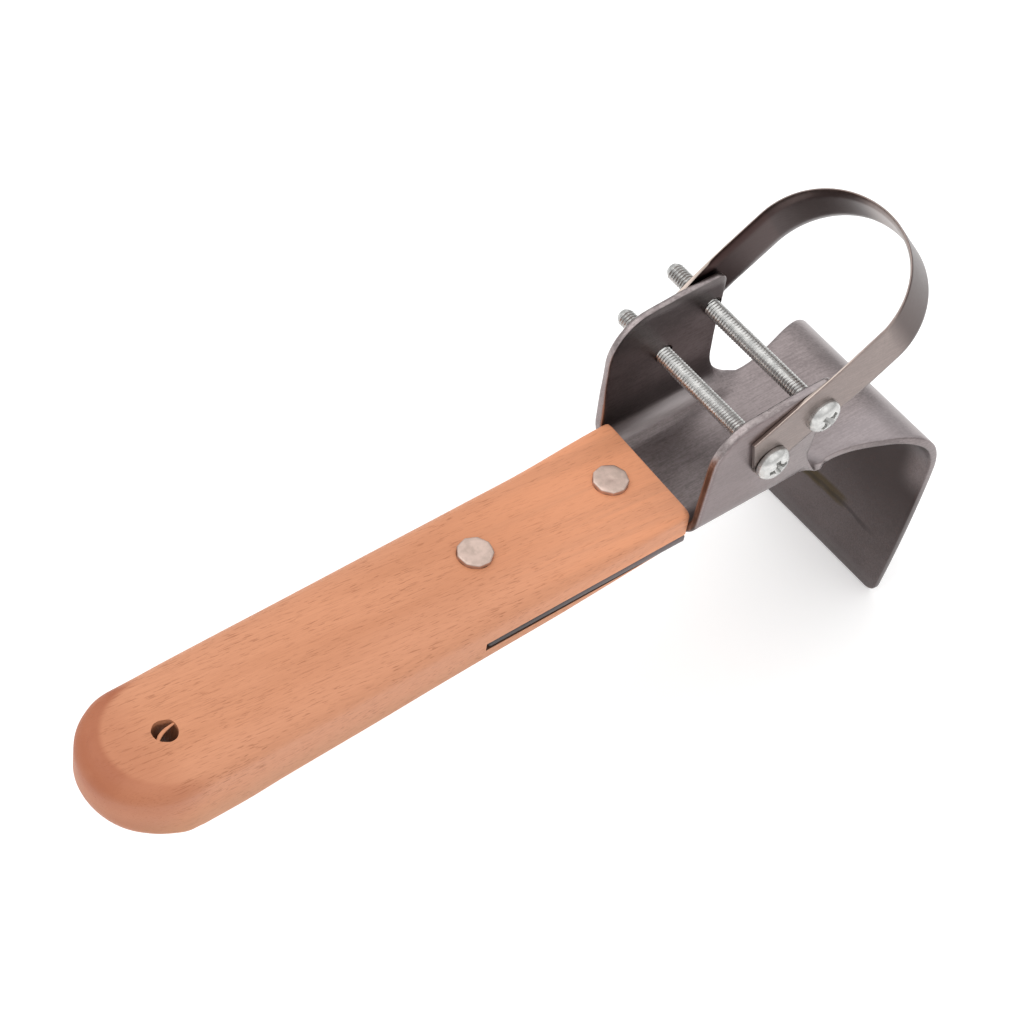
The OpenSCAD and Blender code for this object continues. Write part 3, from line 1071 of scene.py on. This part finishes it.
def hook_marks(n, base, x, y, z):
    """Colours of the plate and the hook."""
    # painted highlight: paler top face on the near part of the plate
    top = n.times(n.span(n.facing(2), 0.75, 0.95), n.span(x, 0.134, 0.142))
    pale = n.span(y, -0.004, -0.012, 0.0, 0.55)
    base = n.mix(n.times(n.times(top, pale), 0.45), base, (0.54, 0.49, 0.51))
    # painted shade inside the hook, eased to a lighter band near its near edge
    inside = n.math("MAXIMUM", n.span(n.facing(0), -0.3, -0.7), n.span(n.facing(2), -0.3, -0.8))
    inside = n.times(inside, n.span(x, 0.150, 0.162))
    shade = n.times(n.span(z, -0.052, -0.020, 0.66, 0.98),
                    n.span(z, -0.016, -0.005, 1.0, 0.88))
    lit = n.times(n.span(y, -0.013, -0.019), n.span(z, -0.024, -0.015))
    lit = n.times(lit, n.span(z, -0.003, -0.007))
    shade = n.times(shade, n.span(lit, 0.0, 1.0, 1.0, 0.5, smooth=False))
    base = n.mix(n.times(inside, shade), base, (0.044, 0.034, 0.033))
    # painted shade on the sheared side edges of the hook, darker lower down
    edge_shade = n.times(n.span(n.math("ABSOLUTE", n.facing(1)), 0.6, 0.9),
                      n.span(x, 0.156, 0.164))
    edge_shade = n.times(edge_shade, n.span(z, -0.012, -0.028, 0.2, 0.75))
    base = n.mix(edge_shade, base, (0.07, 0.060, 0.058))
    # olive mark across the inside of the hook, and beyond it a faint crease drawn as a line of painted
    # shade
    wander = n.noise(n.scaled(90, 90, 90), 1.0, 3.0, 0.55)
    level = n.plus(n.plus(z, 0.0392), n.math("MULTIPLY_ADD", wander, 0.003, -0.0015))
    mark = n.times(n.span(n.math("ABSOLUTE", level), 0.0021, 0.0011),
                  n.times(n.span(y, -0.006, -0.003), n.span(y, 0.0145, 0.010)))
    mark = n.times(n.times(mark, inside), n.span(wander, 0.3, 0.5, 0.6, 1.0))
    base = n.mix(n.times(mark, 0.85), base, (0.060, 0.044, 0.022))
    crease_shade = n.times(n.span(n.math("ABSOLUTE", n.plus(level, 0.0004)), 0.0008, 0.0002),
                    n.span(y, -0.016, -0.010))
    base = n.mix(n.times(n.times(crease_shade, inside), 0.4), base, (0.02, 0.018, 0.018))
    return base


def ear_marks(n, base, x, y, z):
    """Colours of the two ears, their bends and the tang."""
    # rust in the rear edge of the near ear
    off = n.plus(n.plus(y, n.times(z, 0.0454)), 0.01476)
    core = n.span(n.math("ABSOLUTE", off), 0.0007, 0.0003)
    rear = n.times(n.span(x, 0.1208, 0.1194), n.span(z, 0.028, 0.022))
    patch = n.span(n.noise(n.scaled(420, 420, 160), 1.0, 3.0), 0.32, 0.6, 0.35, 1.0)
    rust = n.times(n.times(rear, core), patch)
    base = n.mix(n.times(rust, 0.8), base, (0.060, 0.044, 0.036))
    # painted shade on the outer face of the near ear, more of it towards the rear
    near_ear_shade = n.times(n.span(n.facing(1), -0.8, -0.95), n.span(y, -0.012, -0.014))
    near_ear_shade = n.times(near_ear_shade, n.span(x, 0.146, 0.128, 0.0, 0.42))
    base = n.mix(near_ear_shade, base, (0.145, 0.100, 0.100))
    # painted shade on the inner face of the far ear, at its top and bottom
    far_ear_shade = n.times(n.span(n.facing(1), -0.7, -0.95), n.span(y, 0.010, 0.014))
    far_ear_shade = n.times(far_ear_shade, n.math("MAXIMUM", n.span(z, 0.021, 0.030), n.span(z, 0.016, 0.008)))
    base = n.mix(n.times(far_ear_shade, 0.55), base, (0.055, 0.050, 0.048))
    # painted highlight along the bend under the far ear
    line = n.times(n.span(n.facing(1), -0.42, -0.60), n.span(n.facing(1), -0.97, -0.88))
    line = n.times(line, n.times(n.span(x, 0.152, 0.140), n.span(y, 0.004, 0.007)))
    base = n.mix(n.times(line, 0.55), base, (0.58, 0.53, 0.53))
    # scratched sheared edges of the ears
    shear = n.times(n.span(n.math("ABSOLUTE", n.facing(1)), 0.7, 0.3), n.span(z, 0.010, 0.014))
    scratch = n.noise(n.scaled(640, 900, 640), 1.0, 5.0, 0.75)
    scratched = n.times(shear, n.span(scratch, 0.42, 0.62))
    scratched = n.times(scratched, n.span(z, 0.020, 0.026))
    base = n.mix(n.times(scratched, 0.5), base, (0.46, 0.41, 0.40))
    # painted shade on the edge of the tang in its slot, darker towards the rear
    tang_shade = n.times(n.span(x, 0.1186, 0.1182), n.span(x, 0.070, 0.117, 0.9, 0.45))
    base = n.mix(tang_shade, base, (0.045, 0.042, 0.042))
    return base


def rolled_steel(name, light, dark, strip=False):
    """Cold rolled steel; strip says whether it is the loop strip or the folded sheet."""
    n = Nodes(name)
    along = (220, 2600, 2600) if strip else (260, 3200, 3200)
    brushed = n.noise(n.scaled(*along), 1.0, 3.0, 0.6)
    cloudy = n.noise(n.scaled(55, 75, 75), 1.0, 4.0, 0.6, 0.4)
    speck = n.span(n.noise(n.scaled(900, 900, 900), 1.0, 3.0, 0.6), 0.62, 0.78)
    grain = n.noise(n.scaled(1500, 1900, 1900), 1.0, 3.0, 0.7)
    tone = n.plus(n.times(brushed, 0.35), n.times(cloudy, 0.35))
    tone = n.plus(tone, n.times(grain, 0.30))
    base = n.mix(n.span(tone, 0.39, 0.61), dark, light)
    base = n.mix(n.times(speck, 0.4), base, tuple(0.5 * c for c in dark))
    x, y, z = n.axis(0), n.axis(1), n.axis(2)
    if strip:
        base = strip_marks(n, base, x, y, z)
    else:
        base = ear_marks(n, hook_marks(n, base, x, y, z), x, y, z)
    height = n.plus(brushed, n.times(cloudy, 0.5))
    rough = n.span(tone, 0.3, 0.7, 0.27, 0.38, smooth=False)
    return n.set(color=base, metal=1.0, rough=rough, normal=n.bump(height, 0.00003, 0.6),
                 anisotropic=0.25)


def plated(name, light, dark, low, high):
    """Plated metal whose roughness lies between low and high."""
    n = Nodes(name)
    cloudy = n.noise(n.scaled(700, 700, 700), 1.0, 4.0, 0.6)
    fine = n.noise(n.scaled(3500, 3500, 3500), 1.0, 2.0, 0.6)
    base = n.mix(n.span(cloudy, 0.35, 0.7), light, dark)
    # painted shade: darker on the far side and at the rear of the tool
    shaded = n.math("MAXIMUM", n.span(n.axis(1), 0.0175, 0.0195, 0.0, 0.3),
                    n.span(n.axis(0), 0.055, 0.095, 0.3, 0.0))
    base = n.mix(shaded, base, tuple(0.45 * c for c in dark))
    rough = n.span(cloudy, 0.3, 0.7, low, high, smooth=False)
    return n.set(color=base, metal=1.0, rough=rough, normal=n.bump(fine, 0.00001, 0.6))


WOOD = beech()
FRAME_STEEL = rolled_steel("frame_steel", (0.318, 0.272, 0.271), (0.216, 0.184, 0.183))
STRIP_STEEL = rolled_steel("strip_steel", (0.288, 0.230, 0.211), (0.218, 0.174, 0.160), strip=True)
ZINC = plated("bright_zinc", (0.645, 0.64, 0.625), (0.50, 0.50, 0.49), 0.24, 0.38)
NICKEL = plated("matt_nickel", (0.65, 0.50, 0.435), (0.55, 0.43, 0.37), 0.42, 0.54)

finish_piece("grip", handle_mesh(), WOOD, "handle", 40)
finish_piece("sheet_frame", frame_mesh(), FRAME_STEEL, "tool_frame", 40)
finish_piece("loop_strip", loop_mesh(), STRIP_STEEL, "loop_blade", 40)
for node in RIVETS:
    finish_piece(node + "_head", rivet_mesh(node), NICKEL, node, 35)
for node, turn in (("screw_lower", 12), ("screw_upper", 47)):
    finish_piece(node + "_thread", screw_mesh(node, turn), ZINC, node, 30)
for node in ("nut_lower", "nut_upper"):
    finish_piece(node + "_hex", nut_mesh(node), ZINC, node, 25)


# ---------------------------------------------------------------- studio

def studio():
    floor_level = cad_box[0][2] - 0.0002
    bm = bmesh.new()
    bmesh.ops.create_grid(bm, x_segments=8, y_segments=8, size=3.0)
    mesh = bpy.data.meshes.new("floor")
    bm.to_mesh(mesh)
    bm.free()
    floor = bpy.data.objects.new("floor", mesh)
    floor.location = (0.08, 0, floor_level)
    bpy.context.scene.collection.objects.link(floor)
    n = Nodes("pale_floor")
    n.set(color=(0.94, 0.94, 0.94), rough=0.9, specular=0.1)
    n.shader.inputs["Emission Color"].default_value = (1, 1, 1, 1)
    n.shader.inputs["Emission Strength"].default_value = 0.20
    mesh.materials.append(n.material)

    world = bpy.data.worlds.new("studio")
    world.use_nodes = True
    tree = world.node_tree
    place = tree.nodes.new("ShaderNodeTexCoord")
    split = tree.nodes.new("ShaderNodeSeparateXYZ")
    tree.links.new(place.outputs["Generated"], split.inputs[0])
    height = tree.nodes.new("ShaderNodeMapRange")
    for socket, value in zip(height.inputs[1:5], (-0.1, 0.75, 0.55, 1.10)):
        socket.default_value = value
    tree.links.new(split.outputs[2], height.inputs[0])
    tree.links.new(height.outputs[0], tree.nodes["Background"].inputs[1])
    tree.nodes["Background"].inputs[0].default_value = (1, 1, 1, 1)
    bpy.context.scene.world = world

    centre = Vector((0.09, 0, 0))
    for name, place, size, power in (
            ("key", (-0.25, 0.35, 0.95), 0.9, 2.6),
            ("fill", (0.2, -0.9, 0.7), 0.9, 0.8),
            ("front", (0.62, 0.45, 0.80), 0.6, 0.35)):
        light = bpy.data.lights.new(name, "AREA")
        light.shape = "SQUARE"
        light.size = size
        light.energy = power
        lamp = bpy.data.objects.new(name, light)
        lamp.location = place
        lamp.rotation_euler = (centre - Vector(place)).to_track_quat("-Z", "Y").to_euler()
        bpy.context.scene.collection.objects.link(lamp)


VIEW_ANGLES = (-46.3, 49.7, 10.5)
VIEW_POINT = (-0.221196, -0.289329, 0.512798)
LENS = 116.02


def camera():
    azimuth, elevation, roll = (math.radians(a) for a in VIEW_ANGLES)
    back = Vector((math.sin(azimuth) * math.cos(elevation),
                   -math.cos(azimuth) * math.cos(elevation), math.sin(elevation)))
    right = (-back).cross(Vector((0, 0, 1))).normalized()
    up = right.cross(-back)
    r = right * math.cos(roll) + up * math.sin(roll)
    u = -right * math.sin(roll) + up * math.cos(roll)
    data = bpy.data.cameras.new("camera")
    data.sensor_width = 36
    data.lens = LENS
    cam = bpy.data.objects.new("camera", data)
    turn = Matrix((r, u, back)).transposed().to_4x4()
    cam.matrix_world = Matrix.Translation(VIEW_POINT) @ turn
    bpy.context.scene.collection.objects.link(cam)
    bpy.context.scene.camera = cam


studio()
camera()
bpy.context.scene.view_settings.view_transform = "Standard"
